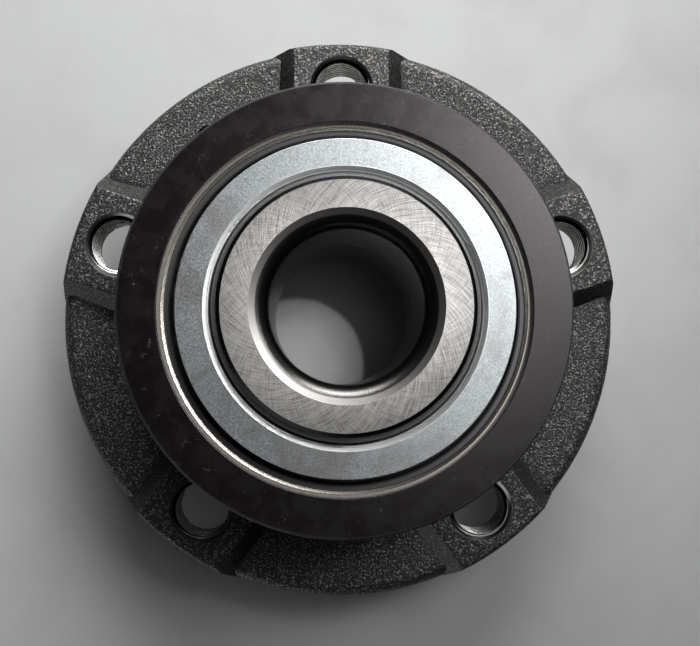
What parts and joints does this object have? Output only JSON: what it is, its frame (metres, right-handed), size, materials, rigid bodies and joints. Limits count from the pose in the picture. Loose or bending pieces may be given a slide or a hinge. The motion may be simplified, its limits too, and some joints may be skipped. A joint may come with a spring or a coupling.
{
  "type": "wheel hub bearing",
  "caption": "Flanged wheel hub turning on a double-row angular contact ball bearing, with bolt bosses, pilots, seals and a magnetic speed-sensor ring.",
  "frame": {"origin": "on the bearing's axis, where the disc pilot meets the machined face that the brake disc rests on", "axes": "+Z along the axis towards the car (the encoder's side); one bolt hole lies on +Y"},
  "size_m": [0.1334, 0.1334, 0.0664],
  "materials": {
    "forged_steel": "shot-blasted forging skin, turned on its faces",
    "bearing_steel": "ground",
    "ball_steel": "polished",
    "zinc_plated_steel": "zinc-plated sheet",
    "case_steel": "phosphated sheet",
    "seal_rubber": "satin",
    "encoder_rubber": "matt, slightly scuffed",
    "cage_plastic": "glass-filled polyamide"
  },
  "bodies": {
    "inner_race": {"inner_ring_inboard": "bearing_steel", "inner_ring_outboard": "bearing_steel", "seal_flinger": "zinc_plated_steel"},
    "hub": {"hub_flange": "forged_steel", "encoder_carrier": "case_steel", "encoder_magnet": "encoder_rubber", "seal_case_inboard": "case_steel", "seal_lip_inboard": "seal_rubber", "seal_case_outboard": "case_steel", "seal_lip_outboard": "seal_rubber"},
    "cage_inboard": {"cage_inboard": "cage_plastic"},
    "cage_outboard": {"cage_outboard": "cage_plastic"},
    "ball_inboard_01": {"ball_inboard_01": "ball_steel"},
    "ball_inboard_02": {"ball_inboard_02": "ball_steel"},
    "ball_inboard_03": {"ball_inboard_03": "ball_steel"},
    "ball_inboard_04": {"ball_inboard_04": "ball_steel"},
    "ball_inboard_05": {"ball_inboard_05": "ball_steel"},
    "ball_inboard_06": {"ball_inboard_06": "ball_steel"},
    "ball_inboard_07": {"ball_inboard_07": "ball_steel"},
    "ball_inboard_08": {"ball_inboard_08": "ball_steel"},
    "ball_inboard_09": {"ball_inboard_09": "ball_steel"},
    "ball_inboard_10": {"ball_inboard_10": "ball_steel"},
    "ball_inboard_11": {"ball_inboard_11": "ball_steel"},
    "ball_inboard_12": {"ball_inboard_12": "ball_steel"},
    "ball_inboard_13": {"ball_inboard_13": "ball_steel"},
    "ball_outboard_01": {"ball_outboard_01": "ball_steel"},
    "ball_outboard_02": {"ball_outboard_02": "ball_steel"},
    "ball_outboard_03": {"ball_outboard_03": "ball_steel"},
    "ball_outboard_04": {"ball_outboard_04": "ball_steel"},
    "ball_outboard_05": {"ball_outboard_05": "ball_steel"},
    "ball_outboard_06": {"ball_outboard_06": "ball_steel"},
    "ball_outboard_07": {"ball_outboard_07": "ball_steel"},
    "ball_outboard_08": {"ball_outboard_08": "ball_steel"},
    "ball_outboard_09": {"ball_outboard_09": "ball_steel"},
    "ball_outboard_10": {"ball_outboard_10": "ball_steel"},
    "ball_outboard_11": {"ball_outboard_11": "ball_steel"},
    "ball_outboard_12": {"ball_outboard_12": "ball_steel"}
  },
  "joints": [
    {"name": "hub_spin", "type": "hinge", "parent": "inner_race", "child": "hub", "pos_m": [0, 0, 0], "axis": [0, 0, 1], "continuous": true},
    {"name": "cage_inboard_spin", "type": "hinge", "parent": "inner_race", "child": "cage_inboard", "pos_m": [0, 0, 0.0324], "axis": [0, 0, 1], "continuous": true},
    {"name": "ball_inboard_01_spin", "type": "hinge", "parent": "cage_inboard", "child": "ball_inboard_01", "pos_m": [0.03152, 0.0022, 0.0324], "axis": [0.5864, 0.041, 0.809], "continuous": true},
    {"name": "ball_inboard_02_spin", "type": "hinge", "parent": "cage_inboard", "child": "ball_inboard_02", "pos_m": [0.02689, 0.0166, 0.0324], "axis": [0.5001, 0.3088, 0.809], "continuous": true},
    {"name": "ball_inboard_03_spin", "type": "hinge", "parent": "cage_inboard", "child": "ball_inboard_03", "pos_m": [0.01609, 0.0272, 0.0324], "axis": [0.2993, 0.5059, 0.809], "continuous": true},
    {"name": "ball_inboard_04_spin", "type": "hinge", "parent": "cage_inboard", "child": "ball_inboard_04", "pos_m": [0.00161, 0.03156, 0.0324], "axis": [0.03, 0.587, 0.809], "continuous": true},
    {"name": "ball_inboard_05_spin", "type": "hinge", "parent": "cage_inboard", "child": "ball_inboard_05", "pos_m": [-0.01324, 0.02869, 0.0324], "axis": [-0.2463, 0.5337, 0.809], "continuous": true},
    {"name": "ball_inboard_06_spin", "type": "hinge", "parent": "cage_inboard", "child": "ball_inboard_06", "pos_m": [-0.02506, 0.01925, 0.0324], "axis": [-0.4661, 0.3581, 0.809], "continuous": true},
    {"name": "ball_inboard_07_spin", "type": "hinge", "parent": "cage_inboard", "child": "ball_inboard_07", "pos_m": [-0.03113, 0.0054, 0.0324], "axis": [-0.5791, 0.1005, 0.809], "continuous": true},
    {"name": "ball_inboard_08_spin", "type": "hinge", "parent": "cage_inboard", "child": "ball_inboard_08", "pos_m": [-0.03008, -0.00968, 0.0324], "axis": [-0.5595, -0.1801, 0.809], "continuous": true},
    {"name": "ball_inboard_09_spin", "type": "hinge", "parent": "cage_inboard", "child": "ball_inboard_09", "pos_m": [-0.02213, -0.02255, 0.0324], "axis": [-0.4117, -0.4195, 0.809], "continuous": true},
    {"name": "ball_inboard_10_spin", "type": "hinge", "parent": "cage_inboard", "child": "ball_inboard_10", "pos_m": [-0.00912, -0.03026, 0.0324], "axis": [-0.1696, -0.5628, 0.809], "continuous": true},
    {"name": "ball_inboard_11_spin", "type": "hinge", "parent": "cage_inboard", "child": "ball_inboard_11", "pos_m": [0.00599, -0.03103, 0.0324], "axis": [0.1114, -0.5771, 0.809], "continuous": true},
    {"name": "ball_inboard_12_spin", "type": "hinge", "parent": "cage_inboard", "child": "ball_inboard_12", "pos_m": [0.01972, -0.02469, 0.0324], "axis": [0.3668, -0.4593, 0.809], "continuous": true},
    {"name": "ball_inboard_13_spin", "type": "hinge", "parent": "cage_inboard", "child": "ball_inboard_13", "pos_m": [0.02894, -0.0127, 0.0324], "axis": [0.5382, -0.2362, 0.809], "continuous": true},
    {"name": "cage_outboard_spin", "type": "hinge", "parent": "inner_race", "child": "cage_outboard", "pos_m": [0, 0, 0.0132], "axis": [0, 0, 1], "continuous": true},
    {"name": "ball_outboard_01_spin", "type": "hinge", "parent": "cage_outboard", "child": "ball_outboard_01", "pos_m": [0.02788, 0.00542, 0.0132], "axis": [-0.577, -0.1122, 0.809], "continuous": true},
    {"name": "ball_outboard_02_spin", "type": "hinge", "parent": "cage_outboard", "child": "ball_outboard_02", "pos_m": [0.02143, 0.01863, 0.0132], "axis": [-0.4436, -0.3856, 0.809], "continuous": true},
    {"name": "ball_outboard_03_spin", "type": "hinge", "parent": "cage_outboard", "child": "ball_outboard_03", "pos_m": [0.00925, 0.02685, 0.0132], "axis": [-0.1914, -0.5558, 0.809], "continuous": true},
    {"name": "ball_outboard_04_spin", "type": "hinge", "parent": "cage_outboard", "child": "ball_outboard_04", "pos_m": [-0.00542, 0.02788, 0.0132], "axis": [0.1122, -0.577, 0.809], "continuous": true},
    {"name": "ball_outboard_05_spin", "type": "hinge", "parent": "cage_outboard", "child": "ball_outboard_05", "pos_m": [-0.01863, 0.02143, 0.0132], "axis": [0.3856, -0.4436, 0.809], "continuous": true},
    {"name": "ball_outboard_06_spin", "type": "hinge", "parent": "cage_outboard", "child": "ball_outboard_06", "pos_m": [-0.02685, 0.00925, 0.0132], "axis": [0.5558, -0.1914, 0.809], "continuous": true},
    {"name": "ball_outboard_07_spin", "type": "hinge", "parent": "cage_outboard", "child": "ball_outboard_07", "pos_m": [-0.02788, -0.00542, 0.0132], "axis": [0.577, 0.1122, 0.809], "continuous": true},
    {"name": "ball_outboard_08_spin", "type": "hinge", "parent": "cage_outboard", "child": "ball_outboard_08", "pos_m": [-0.02143, -0.01863, 0.0132], "axis": [0.4436, 0.3856, 0.809], "continuous": true},
    {"name": "ball_outboard_09_spin", "type": "hinge", "parent": "cage_outboard", "child": "ball_outboard_09", "pos_m": [-0.00925, -0.02685, 0.0132], "axis": [0.1914, 0.5558, 0.809], "continuous": true},
    {"name": "ball_outboard_10_spin", "type": "hinge", "parent": "cage_outboard", "child": "ball_outboard_10", "pos_m": [0.00542, -0.02788, 0.0132], "axis": [-0.1122, 0.577, 0.809], "continuous": true},
    {"name": "ball_outboard_11_spin", "type": "hinge", "parent": "cage_outboard", "child": "ball_outboard_11", "pos_m": [0.01863, -0.02143, 0.0132], "axis": [-0.3856, 0.4436, 0.809], "continuous": true},
    {"name": "ball_outboard_12_spin", "type": "hinge", "parent": "cage_outboard", "child": "ball_outboard_12", "pos_m": [0.02685, -0.00925, 0.0132], "axis": [-0.5558, 0.1914, 0.809], "continuous": true}
  ],
  "couplings": [
    {"joint": "cage_inboard_spin", "follows": "hub_spin", "ratio": 0.5762},
    {"joint": "ball_inboard_01_spin", "follows": "hub_spin", "ratio": 2.5925},
    {"joint": "ball_inboard_02_spin", "follows": "hub_spin", "ratio": 2.5925},
    {"joint": "ball_inboard_03_spin", "follows": "hub_spin", "ratio": 2.5925},
    {"joint": "ball_inboard_04_spin", "follows": "hub_spin", "ratio": 2.5925},
    {"joint": "ball_inboard_05_spin", "follows": "hub_spin", "ratio": 2.5925},
    {"joint": "ball_inboard_06_spin", "follows": "hub_spin", "ratio": 2.5925},
    {"joint": "ball_inboard_07_spin", "follows": "hub_spin", "ratio": 2.5925},
    {"joint": "ball_inboard_08_spin", "follows": "hub_spin", "ratio": 2.5925},
    {"joint": "ball_inboard_09_spin", "follows": "hub_spin", "ratio": 2.5925},
    {"joint": "ball_inboard_10_spin", "follows": "hub_spin", "ratio": 2.5925},
    {"joint": "ball_inboard_11_spin", "follows": "hub_spin", "ratio": 2.5925},
    {"joint": "ball_inboard_12_spin", "follows": "hub_spin", "ratio": 2.5925},
    {"joint": "ball_inboard_13_spin", "follows": "hub_spin", "ratio": 2.5925},
    {"joint": "cage_outboard_spin", "follows": "hub_spin", "ratio": 0.5848},
    {"joint": "ball_outboard_01_spin", "follows": "hub_spin", "ratio": 2.3168},
    {"joint": "ball_outboard_02_spin", "follows": "hub_spin", "ratio": 2.3168},
    {"joint": "ball_outboard_03_spin", "follows": "hub_spin", "ratio": 2.3168},
    {"joint": "ball_outboard_04_spin", "follows": "hub_spin", "ratio": 2.3168},
    {"joint": "ball_outboard_05_spin", "follows": "hub_spin", "ratio": 2.3168},
    {"joint": "ball_outboard_06_spin", "follows": "hub_spin", "ratio": 2.3168},
    {"joint": "ball_outboard_07_spin", "follows": "hub_spin", "ratio": 2.3168},
    {"joint": "ball_outboard_08_spin", "follows": "hub_spin", "ratio": 2.3168},
    {"joint": "ball_outboard_09_spin", "follows": "hub_spin", "ratio": 2.3168},
    {"joint": "ball_outboard_10_spin", "follows": "hub_spin", "ratio": 2.3168},
    {"joint": "ball_outboard_11_spin", "follows": "hub_spin", "ratio": 2.3168},
    {"joint": "ball_outboard_12_spin", "follows": "hub_spin", "ratio": 2.3168}
  ]
}
